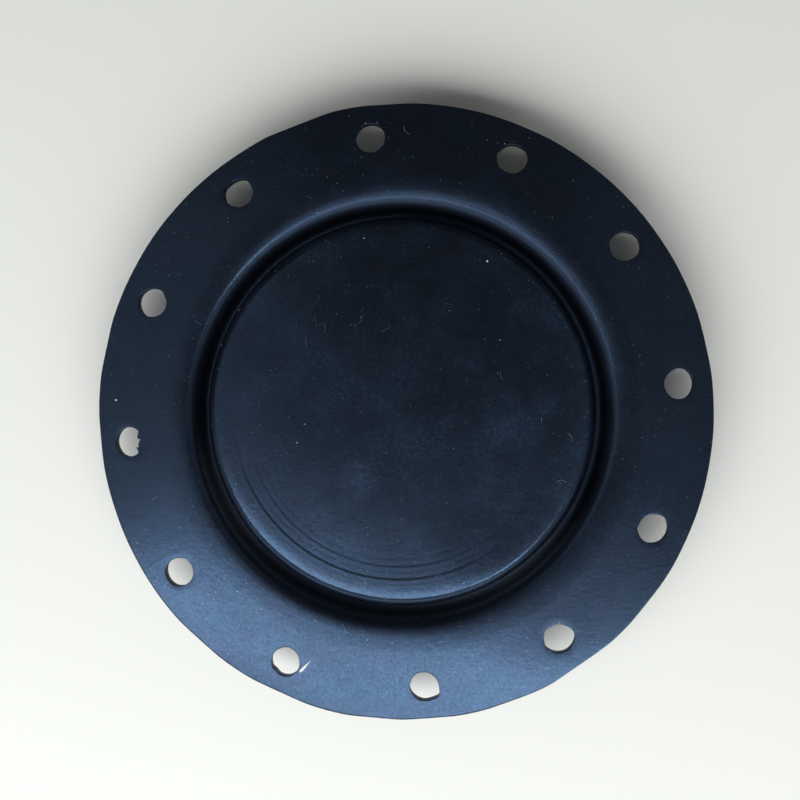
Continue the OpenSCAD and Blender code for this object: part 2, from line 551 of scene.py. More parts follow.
def shift_to_punch(co, sizes):
    """Moves a point of the flange near a hole to where the real punch put it."""
    step = math.tau / sizes.hole_count
    index = round((math.atan2(co.y, co.x) - sizes.hole_phase) / step) % sizes.hole_count
    mark = sizes.hole_phase + index * step
    outwards = Vector((math.cos(mark), math.sin(mark), 0))
    along = Vector((-outwards.y, outwards.x, 0))
    local = Vector((co.x, co.y, 0)) - outwards * sizes.bolt_circle_r
    reach = local.length
    if reach > BAND_HALF:
        return
    hold = 1 - ease(reach, sizes.hole_r + HOLE_ROUND_R, BAND_HALF)
    punch = PUNCHES[index % len(PUNCHES)]
    angle = math.degrees(math.atan2(local.y, local.x))
    change = punched_radius(index, angle, sizes) - sizes.hole_r
    change += PUNCH_FLARE * ease(-co.z, 0, sizes.flange_t)
    offset = outwards * punch.out * MM + along * punch.along * MM
    co += (offset + local.normalized() * change) * hold
    if co.z > -sizes.flange_t / 2:
        co.z -= MOUTH_DISH * bell(reach - sizes.hole_r, MOUTH_DISH_WIDTH)


# How the moulding has sagged and settled: the far side's shoulder falls early and by more,
# the near side's stands a little high. Each reach is where the change is whole and where it ends
SAG_WAY = 62
FAR_DROP = 0.40 * MM
NEAR_DROP = 0.07 * MM
DROP_REACH = (52.2 * MM, 59.2 * MM)
NEAR_LIFT = 0.26 * MM
NEAR_REACH = (51.4 * MM, 56.4 * MM)
# The groove's outer wall goes with the shoulder, from not at all at its foot to wholly
WALL_REACH = (-6.5 * MM, -3 * MM)
# The flange lies in slow waves, more so towards the rim
SLACK = 0.22 * MM
SLACK_WAVE = 38 * MM
# The disc has a slower swell, is lifted at one place, and rolls down a little before its edge
SWELL = 0.05 * MM
SWELL_WAVE = 16 * MM
DISC_LIFT = 0.5 * MM
DISC_LIFT_AT = Vector((26, -46, 0)) * MM
DISC_LIFT_WIDTH = 18 * MM
DISC_ROLL = 0.032 * MM
DISC_ROLL_REACH = (43.6 * MM, 46.2 * MM)
DISC_SIDE = 0.05 * MM


def shoulder_sag(radius, angle):
    """How far the flange's shoulder stands above or below its true height."""
    far = (1 + math.cos(math.radians(away(angle, SAG_WAY)))) / 2
    lift = NEAR_LIFT * (1 - far) * (1 - ease(radius, *NEAR_REACH))
    drop = NEAR_DROP + (FAR_DROP - NEAR_DROP) * far
    return lift - drop * (1 - ease(radius, *DROP_REACH))


def disc_rise(co, radius, sizes):
    """How far the disc's upper face stands above or below its true height."""
    inside = 1 - ease(radius, sizes.disc_r - sizes.disc_edge_r, sizes.disc_r)
    swell = SWELL * inside * noise.noise(Vector((co.x, co.y, 4)) / SWELL_WAVE)
    lift = DISC_LIFT * bell((Vector((co.x, co.y, 0)) - DISC_LIFT_AT).length, DISC_LIFT_WIDTH)
    return swell + lift - DISC_ROLL * ease(radius, *DISC_ROLL_REACH)


def relief(co, sizes):
    """Moves a point of the true moulding to where the worn, hand-trimmed one has it."""
    radius = math.hypot(co.x, co.y)
    angle = math.degrees(math.atan2(co.y, co.x))
    band_out = sizes.bolt_circle_r + BAND_HALF
    flange_start = sizes.disc_r + sizes.groove_w + sizes.flange_edge_r
    upper = co.z > -sizes.flange_t / 2
    open_above = upper or radius < sizes.disc_r + sizes.groove_w + sizes.web_t / 2
    if radius > band_out:
        pull = (radius - band_out) / (sizes.rim_r - band_out)
        scale = 1 + (rim_radius(angle, sizes) - sizes.rim_r) * pull / radius
        co.x *= scale
        co.y *= scale
    elif radius > sizes.bolt_circle_r - BAND_HALF:
        shift_to_punch(co, sizes)
    wall = ease(co.z, *WALL_REACH)
    if radius > sizes.disc_r + sizes.groove_w / 2 and wall and open_above:
        co.z += shoulder_sag(radius, angle) * wall
    if radius > flange_start:
        slack = SLACK * ease(radius, flange_start, sizes.rim_r)
        co.z += slack * noise.noise(Vector((co.x, co.y, 0)) / SLACK_WAVE)
    if upper and radius < sizes.disc_r - DISC_SIDE:
        co.z += disc_rise(co, radius, sizes)


# Edges that a pressure plate pressed into the disc: radius, width and rise in millimetres;
# they show only on one side, where the plate bore hardest
IMPRINT_CENTRE = (-0.4 * MM, -0.3 * MM, 0)
IMPRINTS = [(40.4, 0.8, 0.034), (37.3, 0.7, 0.016), (38.8, 0.5, 0.005), (35.6, 0.6, 0.006),
            (41.8, 0.5, 0.005), (33.4, 0.6, 0.003)]
IMPRINT_WAY = 250
# Creases moulded into the shoulder on one side
CREASE_WAY = 190
CREASES = [(54.4, 0.5, 0.004), (55.6, 0.6, 0.005), (56.9, 0.6, 0.004), (58.3, 0.7, 0.003)]
# The side of the groove where painted glare lightens its shade, and the side where its edge is worn
# dull
PAINTED_GLARE_WAY = 258
WORN_WAY = 75
# Smudges where the disc was handled: x, y, radius in millimetres, strength
SMUDGES = [
    (29, -5, 9, 0.9), (-1, 9, 13, 0.4), (-9.5, -16.4, 7, 0.9), (-2.1, 3.1, 6, 0.4), (13, 25, 9, 0.4),
    (36, 2, 5, 0.8), (-24, 20, 10, 0.4), (-60, -25, 9, 0.6), (-70, -14, 6, 0.6), (62, -8, 7, 0.4),
    (-11, -35, 9, 0.5), (-73.4, -5.6, 1.6, 1.6), (-72.6, -6.8, 1.5, 1.6), (-71.7, -8.1, 1.4, 1.4),
    (-70.8, -9.3, 1.3, 1.1),
]

# Sizes of the patterns in the rubber's skin and in the film on it, in millimetres. The mould's
# blasted grain is finer than the render can show, so grain and pores are as coarse as they
# need to be to show
PORES_MM = 0.34
GRAIN_MM = 0.48
WIPE_MARKS_MM = 0.9
MOTTLE_MM = 1.3
SPECKS_MM = 1.5
GREASE_MM = 3.0
WAVES_MM = 3.5
TINTS_MM = 4.5
HAZE_MM = 8.0
# The way a cloth wiped the film, and how its marks are drawn out along that way
WIPE_WAY = math.radians(33)
WIPE_STRETCH = (0.12, 1, 1)
# Heights of the fine grain and of the slow waves, in millimetres
GRAIN_HEIGHT = 0.016
WAVES_HEIGHT = 0.008
# Where the look of the rubber changes along its section: each pair runs from where the change
# starts to where it is whole
GROOVE_DEPTHS = (-0.8 * MM, -2.3 * MM)
SHOULDER_RADII = (57 * MM, 54 * MM)
HOLED_RADII = (60.5 * MM, 61.5 * MM)
FILM_THINS_RADII = (44 * MM, 50 * MM)
DISC_WALL_RADII = (47.9 * MM, 48.4 * MM)
FLANGE_WALL_RADII = (51.3 * MM, 50.9 * MM)
# Likewise for the upward part of the normal: cut sides from moulded faces, and where painted glare
# lies
CUT_LEANS = (0.985, 0.8)
SKY_LEANS = (-0.1, -0.02)
# How sharp a speck's edge is, and which cells have a speck, as their lot from 0 to 1
SPECK_EDGE = (0.10, 0.05)
SPECK_LOTS = (0.6, 1.0)
# The edge between shoulder and groove that is worn dull: its radius and half its width
WORN_EDGE_R = 52.4 * MM
WORN_EDGE_HALF = 2.4 * MM


def noise_scale(size_mm):
    """The scale at which noise has blotches about size_mm across."""
    return 0.5 / (size_mm * MM)


def where_all(tree, *spans):
    """A mask that is whole only where each value has run from its start to its stop."""
    mask = 1.0
    for value, (start, stop) in spans:
        reached = add_node(tree, "ShaderNodeMapRange", {
            "Value": value, "From Min": start, "From Max": stop}, interpolation_type="SMOOTHSTEP")
        mask = add_node(tree, "ShaderNodeMath", {0: mask, 1: reached}, operation="MULTIPLY")
    return mask


def weighed(tree, base, *parts):
    """A base value to which each pattern adds its share."""
    for pattern, share in parts:
        base = add_node(tree, "ShaderNodeMath", {0: pattern, 1: share, 2: base},
                        operation="MULTIPLY_ADD")
    return base


def reach_from(tree, place, centre=(0, 0, 0)):
    """How far a point lies from an upright line through a centre."""
    level = add_node(tree, "ShaderNodeVectorMath", {0: place, 1: (1, 1, 0)}, operation="MULTIPLY")
    return add_node(tree, "ShaderNodeVectorMath", {0: level, 1: centre},
                    operation="DISTANCE").outputs["Value"]


def facing(tree, place, way, start, stop):
    """A mask for the side of the part that lies in one direction from its axis."""
    turn = math.radians(way)
    level = add_node(tree, "ShaderNodeVectorMath", {0: place, 1: (1, 1, 0)}, operation="MULTIPLY")
    unit = add_node(tree, "ShaderNodeVectorMath", {0: level}, operation="NORMALIZE")
    share = add_node(tree, "ShaderNodeVectorMath", {0: unit, 1: (math.cos(turn), math.sin(turn), 0)},
                     operation="DOT_PRODUCT").outputs["Value"]
    return add_node(tree, "ShaderNodeMapRange", {"Value": share, "From Min": start, "From Max": stop},
                    interpolation_type="SMOOTHSTEP")


def ring_steps(tree, place, centre, rings, way):
    """Height in millimetres of fine round steps about a centre, seen on one side only."""
    arm = reach_from(tree, place, centre)
    total = 0.0
    for radius, width, rise in rings:
        step = add_node(tree, "ShaderNodeMapRange", {
            "Value": arm, "From Min": (radius - width / 2) * MM,
            "From Max": (radius + width / 2) * MM, "To Max": rise}, interpolation_type="SMOOTHSTEP")
        total = add_node(tree, "ShaderNodeMath", {0: total, 1: step}, operation="ADD")
    return add_node(tree, "ShaderNodeMath", {0: total, 1: facing(tree, place, way, 0.35, 0.9)},
                    operation="MULTIPLY")


def smudge_mask(tree, place):
    """Soft patches of skin grease and dust, broken up by fine noise."""
    total = 0.0
    for x, y, radius, strength in SMUDGES:
        arm = add_node(tree, "ShaderNodeVectorMath", {0: place, 1: (x * MM, y * MM, 0)},
                       operation="DISTANCE").outputs["Value"]
        patch = add_node(tree, "ShaderNodeMapRange", {
            "Value": arm, "From Min": 0.0, "From Max": radius * MM, "To Min": strength,
            "To Max": 0.0}, interpolation_type="SMOOTHSTEP")
        total = add_node(tree, "ShaderNodeMath", {0: total, 1: patch}, operation="ADD")
    broken = add_node(tree, "ShaderNodeTexNoise", {
        "Vector": place, "Scale": noise_scale(GREASE_MM), "Detail": 4.0, "Roughness": 0.7})
    return add_node(tree, "ShaderNodeMath", {0: total, 1: broken}, operation="MULTIPLY")


def dust_film(tree, place, grain):
    """How thickly dust and grease lie: haze in clouds, marks of wiping, and smudges."""
    clouds = add_node(tree, "ShaderNodeTexNoise", {
        "Vector": place, "Scale": noise_scale(HAZE_MM), "Detail": 5.0, "Roughness": 0.68})
    haze = add_node(tree, "ShaderNodeMapRange", {
        "Value": clouds, "From Min": 0.40, "From Max": 0.72}, interpolation_type="SMOOTHSTEP")
    wiped = add_node(tree, "ShaderNodeMapping", {
        "Vector": place, "Rotation": (0, 0, WIPE_WAY), "Scale": WIPE_STRETCH})
    strokes = add_node(tree, "ShaderNodeTexNoise", {
        "Vector": wiped, "Scale": noise_scale(WIPE_MARKS_MM), "Detail": 2.0, "Roughness": 0.6})
    streaks = add_node(tree, "ShaderNodeMapRange", {
        "Value": strokes, "From Min": 0.52, "From Max": 0.80}, interpolation_type="SMOOTHSTEP")
    dusty = weighed(tree, smudge_mask(tree, place), (haze, 0.42), (streaks, 0.15))
    caught = add_node(tree, "ShaderNodeMapRange", {
        "Value": grain, "From Min": 0.25, "From Max": 0.75, "To Min": 0.35, "To Max": 1.25},
        interpolation_type="SMOOTHSTEP")
    return add_node(tree, "ShaderNodeMath", {0: dusty, 1: caught}, operation="MULTIPLY",
                    use_clamp=True)


def groove_mask(tree, place, arm):
    """How deep in the groove a point lies."""
    high = add_node(tree, "ShaderNodeSeparateXYZ", {0: place}).outputs["Z"]
    return where_all(tree, (high, GROOVE_DEPTHS), (arm, SHOULDER_RADII))


def cut_mask(tree, arm, lean):
    """The sides of the holes and of the rim, where the rubber was cut and not moulded."""
    slant = add_node(tree, "ShaderNodeMath", {0: lean}, operation="ABSOLUTE")
    return where_all(tree, (slant, CUT_LEANS), (arm, HOLED_RADII))


def specks_and_painted_glare_mask(tree, place, arm, lean, deep):
    """Pale dust specks all over, and painted glare: the same pale colour laid low in the groove on its
    shaded side, to lighten the shade there.
    """
    cells = add_node(tree, "ShaderNodeTexVoronoi", {"Vector": place, "Scale": 1 / (SPECKS_MM * MM)})
    lot = add_node(tree, "ShaderNodeSeparateColor", {0: cells.outputs["Color"]})
    specks = where_all(tree, (cells.outputs["Distance"], SPECK_EDGE), (lot, SPECK_LOTS))
    bottom = where_all(tree, (arm, DISC_WALL_RADII), (arm, FLANGE_WALL_RADII), (lean, SKY_LEANS))
    # Painted glare: the pale dust colour laid low in the groove on the side towards the lamp, where
    # the groove lies in shade
    painted_glare = add_node(tree, "ShaderNodeMath", {0: deep, 1: bottom}, operation="MULTIPLY")
    painted_glare = add_node(tree, "ShaderNodeMath", {0: painted_glare, 1: facing(tree, place, PAINTED_GLARE_WAY, 0.2, 0.85)},
                    operation="MULTIPLY")
    return weighed(tree, 0.0, (painted_glare, 0.24), (specks, 0.5))


def rubber_colour(tree, finish, arm, film, dust_and_glare):
    """Black rubber under a blue-grey film, thinner outside the disc, under pale dust specks, and under
    a painted glare that lightens the groove's shade.
    """
    thick = add_node(tree, "ShaderNodeMapRange", {
        "Value": arm, "From Min": FILM_THINS_RADII[0], "From Max": FILM_THINS_RADII[1],
        "To Min": 0.36, "To Max": 0.12}, interpolation_type="SMOOTHSTEP")
    cover = add_node(tree, "ShaderNodeMath", {0: film, 1: thick}, operation="MULTIPLY")
    hazed = add_node(tree, "ShaderNodeMix", {"Factor": cover, 6: finish.rubber, 7: finish.film},
                     data_type="RGBA")
    # Pale dust specks, and painted glare that lightens the groove's shade on the side towards the lamp
    dust_and_glare_mixed = add_node(tree, "ShaderNodeMix", {
        "Factor": dust_and_glare, 6: hazed.outputs[2], 7: finish.dust}, data_type="RGBA")
    return dust_and_glare_mixed.outputs[2]


def rubber_roughness(tree, finish, place, arm, film, grain, dull):
    """Satin all over, duller under the film, in the groove, on cuts and along the worn edge."""
    off_edge = add_node(tree, "ShaderNodeMath", {0: arm, 1: WORN_EDGE_R}, operation="SUBTRACT")
    off_edge = add_node(tree, "ShaderNodeMath", {0: off_edge}, operation="ABSOLUTE")
    rubbed = add_node(tree, "ShaderNodeMapRange", {
        "Value": off_edge, "From Min": 0.0, "From Max": WORN_EDGE_HALF, "To Min": 0.16,
        "To Max": 0.0}, interpolation_type="SMOOTHSTEP")
    worn = add_node(tree, "ShaderNodeMath", {0: rubbed, 1: facing(tree, place, WORN_WAY, 0.3, 0.8)},
                    operation="MULTIPLY")
    rough = add_node(tree, "ShaderNodeMath", {0: worn, 1: finish.roughness}, operation="ADD")
    return weighed(tree, rough, (film, 0.05), (grain, 0.03), (dull, 0.25))


def rubber_gloss(tree, place, deep, cut):
    """How strongly the skin mirrors: broken by pores and mottle, weaker in the groove and on cuts."""
    pores = add_node(tree, "ShaderNodeTexNoise", {
        "Vector": place, "Scale": noise_scale(PORES_MM), "Detail": 1.0, "Roughness": 0.55})
    mottle = add_node(tree, "ShaderNodeTexNoise", {
        "Vector": place, "Scale": noise_scale(MOTTLE_MM), "Detail": 2.0, "Roughness": 0.55})
    gloss = weighed(tree, 0.59, (mottle, 0.3), (pores, 0.52))
    kept = weighed(tree, 0.9, (deep, -0.3), (cut, -0.65))
    return add_node(tree, "ShaderNodeMath", {0: gloss, 1: kept}, operation="MULTIPLY")


def gloss_tint(tree, finish, place):
    """Tint of the gloss, which turns a little warmer in patches where the film is greasy."""
    patches = add_node(tree, "ShaderNodeTexNoise", {
        "Vector": place, "Scale": noise_scale(TINTS_MM), "Detail": 2.0, "Roughness": 0.5})
    greasy = add_node(tree, "ShaderNodeMapRange", {
        "Value": patches, "From Min": 0.35, "From Max": 0.65}, interpolation_type="SMOOTHSTEP")
    return add_node(tree, "ShaderNodeMix", {
        "Factor": greasy, 6: finish.gloss_tint, 7: finish.gloss_tint_warm},
        data_type="RGBA").outputs[2]


def skin_height(tree, place, grain):
    """Height of the skin in millimetres: the plate's imprints, creases, slow waves and grain."""
    waves = add_node(tree, "ShaderNodeTexNoise", {
        "Vector": place, "Scale": noise_scale(WAVES_MM), "Detail": 1.0, "Roughness": 0.5})
    imprints = ring_steps(tree, place, IMPRINT_CENTRE, IMPRINTS, IMPRINT_WAY)
    creases = ring_steps(tree, place, (0, 0, 0), CREASES, CREASE_WAY)
    return weighed(tree, imprints, (creases, 1.0), (grain, GRAIN_HEIGHT), (waves, WAVES_HEIGHT))


def moulded_rubber(finish):
    """Carbon-black nitrile rubber from a blasted steel mould: near black, with a broad cool gloss.

    A film of dust and grease lies on it in clouds, and its skin has a fine grain.
    """
    material = bpy.data.materials.new("moulded_black_nitrile_rubber")
    material.use_nodes = True
    tree = material.node_tree
    tree.nodes.clear()
    coordinates = add_node(tree, "ShaderNodeTexCoord").outputs
    place = coordinates["Object"]
    lean = add_node(tree, "ShaderNodeSeparateXYZ", {0: coordinates["Normal"]}).outputs["Z"]
    arm = reach_from(tree, place)
    grain = add_node(tree, "ShaderNodeTexNoise", {
        "Vector": place, "Scale": noise_scale(GRAIN_MM), "Detail": 2.0, "Roughness": 0.55})
    film = dust_film(tree, place, grain)
    deep = groove_mask(tree, place, arm)
    cut = cut_mask(tree, arm, lean)
    dull = add_node(tree, "ShaderNodeMath", {0: deep, 1: cut}, operation="ADD", use_clamp=True)
    dust_and_glare = specks_and_painted_glare_mask(tree, place, arm, lean, deep)
    bump = add_node(tree, "ShaderNodeBump", {
        "Height": skin_height(tree, place, grain), "Strength": 1.0, "Distance": MM})
    shader = add_node(tree, "ShaderNodeBsdfPrincipled", {
        "Base Color": rubber_colour(tree, finish, arm, film, dust_and_glare),
        "Roughness": rubber_roughness(tree, finish, place, arm, film, grain, dull),
        "IOR": 1.8,
        "Specular IOR Level": rubber_gloss(tree, place, deep, cut),
        "Specular Tint": gloss_tint(tree, finish, place),
        "Normal": bump})
    add_node(tree, "ShaderNodeOutputMaterial", {"Surface": shader})
    return material


class DIAPHRAGM_OT_moulding(bpy.types.Operator):
    """Make the moulded rubber diaphragm, with its punched holes and trimmed rim"""
    bl_idname = "diaphragm.moulding"
    bl_label = "Moulding"

    def execute(self, context):
        sizes = context.scene.diaphragm_sizes
        inputs = {
            "Slices": sizes.hole_count, "First Turn": sizes.hole_phase, "Weld Distance": WELD_WITHIN,
            "Material": moulded_rubber(context.scene.rubber_finish),
        }
        piece = grow(slice_mesh(sizes), repeat_tree(), inputs, MOULDING)
        for vertex in piece.data.vertices:
            relief(vertex.co, sizes)
        piece.data.update()
        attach(piece, BODY)
        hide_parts(NODE)
        return {"FINISHED"}


# Dust lies on faces that look up at least this far, as the upward part of their normal
UPWARD = 0.8
# How much commoner small grains are than large ones, as a power
SMALL_SHARE = 2.5
# How far a grain may be turned, and how far it is drawn out along each axis
SPIN_MOST = (0.3, 0.3, math.tau)
STRETCH = ((0.7, 0.7, 0.35), (1.3, 1.3, 0.8))
# The ring along the disc's edge where grit gathers: its radius, how far it reaches to either
# side, and how many times as thick the grit lies there
GRIT_RING_R = 45.6 * MM
GRIT_RING_REACH = 2.2 * MM
GRIT_RING_TIMES = 5
# The smallest and the largest
GRIT_SIZES = (0.08 * MM, 0.26 * MM)
LINT_SIZES = (0.8 * MM, 3.6 * MM)
# A height above everything, from which to look down for the skin
OVER_ALL = 20 * MM


def scatter_tree(name, shape):
    """Geometry Nodes tree that strews small shapes over the upper faces of a mesh.

    shape adds the nodes of one shape, a unit across, to the tree and returns its last node.
    """
    tree = bpy.data.node_groups.new(name, "GeometryNodeTree")
    face = tree.interface
    face.new_socket("Geometry", in_out="INPUT", socket_type="NodeSocketGeometry")
    face.new_socket("Seed", in_out="INPUT", socket_type="NodeSocketInt")
    for socket in ("Density", "Ring Density", "Ring Radius", "Ring Width", "Smallest", "Largest"):
        face.new_socket(socket, in_out="INPUT", socket_type="NodeSocketFloat")
    face.new_socket("Material", in_out="INPUT", socket_type="NodeSocketMaterial")
    face.new_socket("Geometry", in_out="OUTPUT", socket_type="NodeSocketGeometry")
    given = add_node(tree, "NodeGroupInput").outputs

    place = add_node(tree, "GeometryNodeInputPosition")
    arm = add_node(tree, "ShaderNodeVectorMath", {0: place}, operation="LENGTH").outputs["Value"]
    apart = add_node(tree, "ShaderNodeMath", {0: arm, 1: given["Ring Radius"]},
                     operation="SUBTRACT")
    apart = add_node(tree, "ShaderNodeMath", {0: apart}, operation="ABSOLUTE")
    share = add_node(tree, "ShaderNodeMath", {0: apart, 1: given["Ring Width"]},
                     operation="DIVIDE")
    near = add_node(tree, "ShaderNodeMath", {0: 1.0, 1: share}, operation="SUBTRACT",
                    use_clamp=True)
    density = add_node(tree, "ShaderNodeMath", {
        0: near, 1: given["Ring Density"], 2: given["Density"]}, operation="MULTIPLY_ADD")
    normal = add_node(tree, "GeometryNodeInputNormal")
    up = add_node(tree, "ShaderNodeSeparateXYZ", {0: normal}).outputs["Z"]
    open_to_sky = add_node(tree, "ShaderNodeMath", {0: up, 1: UPWARD}, operation="GREATER_THAN")
    points = add_node(tree, "GeometryNodeDistributePointsOnFaces", {
        "Mesh": given["Geometry"], "Selection": open_to_sky, "Density": density,
        "Seed": given["Seed"]})

    lot = add_node(tree, "FunctionNodeRandomValue", {"Seed": given["Seed"]},
                   data_type="FLOAT").outputs[1]
    small = add_node(tree, "ShaderNodeMath", {0: lot, 1: SMALL_SHARE}, operation="POWER")
    reach = add_node(tree, "ShaderNodeMath", {0: given["Largest"], 1: given["Smallest"]},
                     operation="SUBTRACT")
    size = add_node(tree, "ShaderNodeMath", {0: small, 1: reach, 2: given["Smallest"]},
                    operation="MULTIPLY_ADD")
    spin = add_node(tree, "FunctionNodeRandomValue", {
        0: (0, 0, 0), 1: SPIN_MOST, "Seed": given["Seed"]}, data_type="FLOAT_VECTOR")
    stretch = add_node(tree, "FunctionNodeRandomValue", {
        0: STRETCH[0], 1: STRETCH[1], "Seed": given["Seed"]}, data_type="FLOAT_VECTOR")
    scale = add_node(tree, "ShaderNodeVectorMath", {0: stretch, "Scale": size}, operation="SCALE")
    copies = add_node(tree, "GeometryNodeInstanceOnPoints", {
        "Points": points, "Instance": shape(tree), "Rotation": spin, "Scale": scale})
    shade = add_node(tree, "FunctionNodeRandomValue", {"Seed": given["Seed"]},
                     data_type="FLOAT").outputs[1]
    toned = add_node(tree, "GeometryNodeStoreNamedAttribute", {
        "Geometry": copies, "Name": "shade", "Value": shade},
        data_type="FLOAT", domain="INSTANCE")
    real = add_node(tree, "GeometryNodeRealizeInstances", {0: toned})
    finish = add_node(tree, "GeometryNodeSetMaterial", {
        "Geometry": real, "Material": given["Material"]})
    add_node(tree, "NodeGroupOutput", {0: finish})
    return tree


def grain_shape(tree):
    """A grain of grit: an icosahedron."""
    return add_node(tree, "GeometryNodeMeshIcoSphere", {"Radius": 0.5, "Subdivisions": 1})


def fibre_shape(tree):
    """A curled thread of lint, its ends capped."""
    path = add_node(tree, "GeometryNodeCurveQuadraticBezier", {
        "Resolution": 9, "Start": (-0.5, 0, 0), "Middle": (0.1, 0.55, 0.12), "End": (0.5, -0.1, 0)})
    profile = add_node(tree, "GeometryNodeCurvePrimitiveCircle", {"Resolution": 3, "Radius": 0.016})
    return add_node(tree, "GeometryNodeCurveToMesh", {
        "Curve": path, "Profile Curve": profile, "Fill Caps": True})


def settled_dust(name, pale, dark):
    """Dry matt grit or lint; every grain has its own shade between two colours."""
    material = bpy.data.materials.new(name)
    material.use_nodes = True
    tree = material.node_tree
    tree.nodes.clear()
    shade = add_node(tree, "ShaderNodeAttribute", attribute_name="shade").outputs["Fac"]
    colour = add_node(tree, "ShaderNodeMix", {"Factor": shade, 6: linear(dark), 7: linear(pale)},
                      data_type="RGBA")
    shader = add_node(tree, "ShaderNodeBsdfPrincipled", {
        "Base Color": colour.outputs[2], "Roughness": 0.85})
    add_node(tree, "ShaderNodeOutputMaterial", {"Surface": shader})
    return material


def plain_material(name, hex_colour, roughness):
    """One even colour, for dirt so small that no pattern would show on it."""
    material = bpy.data.materials.new(name)
    material.use_nodes = True
    shader = material.node_tree.nodes["Principled BSDF"]
    shader.inputs["Base Color"].default_value = linear(hex_colour)
    shader.inputs["Roughness"].default_value = roughness
    return material


def strew(name, tree, inputs):
    """Strews shapes over a copy of the moulding's skin and keeps only the shapes."""
    moulding = bpy.data.objects[MOULDING]
    piece = grow(moulding.data.copy(), tree, inputs, name)
    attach(piece, BODY)
    return piece


def resting_height(x, y):
    """Height of the moulding's upper skin under a point."""
    hit, place, _, _ = bpy.data.objects[MOULDING].ray_cast((x, y, OVER_ALL), (0, 0, -1))
    if not hit:
        raise ValueError(f"no rubber under {x:.4f}, {y:.4f}")
    return place.z


class DIAPHRAGM_OT_grit(bpy.types.Operator):
    """Strew fine grit over the rubber, thickest along the disc's edge"""
    bl_idname = "diaphragm.grit"
    bl_label = "Grit"

    def execute(self, context):
        dirt = context.scene.dirt_amounts
        strew("dust_grit", scatter_tree("strew_grit", grain_shape), {
            "Seed": dirt.seed, "Density": dirt.grit, "Ring Density": GRIT_RING_TIMES * dirt.grit,
            "Ring Radius": GRIT_RING_R, "Ring Width": GRIT_RING_REACH,
            "Smallest": GRIT_SIZES[0], "Largest": GRIT_SIZES[1],
            "Material": settled_dust("dry_mineral_grit", "#6C7379", "#25282C")})
        return {"FINISHED"}


class DIAPHRAGM_OT_lint(bpy.types.Operator):
    """Strew short threads of lint over the rubber"""
    bl_idname = "diaphragm.lint"
    bl_label = "Lint"

    def execute(self, context):
        dirt = context.scene.dirt_amounts
        strew("dust_lint", scatter_tree("strew_lint", fibre_shape), {
            "Seed": dirt.seed + 1, "Density": dirt.lint, "Ring Density": 0.0,
            "Ring Radius": GRIT_RING_R, "Ring Width": GRIT_RING_REACH,
            "Smallest": LINT_SIZES[0], "Largest": LINT_SIZES[1],
            "Material": settled_dust("cotton_lint", "#6A7A8A", "#303840")})
        return {"FINISHED"}


# Larger crumbs that lie on the rubber: x, y and size in millimetres
CRUMBS = [
    (-70.5, 3.1, 0.55), (21.5, 36.7, 0.50), (-20.0, 49.1, 0.36), (-8.4, 42.6, 0.28),
    (-25.0, -7.4, 0.34), (-23.0, -2.8, 0.24), (24.6, 17.6, 0.26), (15.9, -41.3, 0.28),
    (-39.6, 25.3, 0.26), (-44.2, 16.7, 0.24), (37.5, -50.95, 0.3), (36.2, -51.9, 0.26),
    (35.4, -53.2, 0.34), (38.8, -50.6, 0.22), (25.6, 64.9, 0.22), (-8.0, 70.5, 0.24),
    (-5.2, 70.6, 0.18),
]
# Threads of lint: x, y, length in millimetres, way in degrees
THREADS = [
    (-19.2, 21.6, 4.6, -43), (-9.2, 22.7, 2.6, 70), (-22.5, 17.5, 3.2, -60), (-3.0, 20.5, 2.8, 35),
]
# The flake by a hole: from its blunt end to its point
FLAKE_FROM = Vector((-24.4, -63.9, 0)) * MM
FLAKE_TO = Vector((-21.6, -60.9, 0)) * MM
FLAKE_HALF_WIDTH = 0.28 * MM
FLAKE_T = 0.14 * MM
# How many steps the flake has along its length, and the gap under it
FLAKE_STEPS = 16
FLAKE_GAP = 0.02 * MM
# A crumb, in halves of its size: the heights of its poles, the height and width of each ring
# round it, how far its middle lies above the rubber, and how uneven its rings are
CRUMB_SIDES = 7
CRUMB_POLES = (-0.5, 0.6)
CRUMB_RINGS = ((-0.3, 0.8), (0.25, 0.85))
CRUMB_RAISED = 0.3
CRUMB_JUT = 0.35
# A thread: half its thickness, its steps, and how far it waves as a share of its length
THREAD_HALF_T = 0.035 * MM
THREAD_STEPS = 14
THREAD_WAVE = 0.3


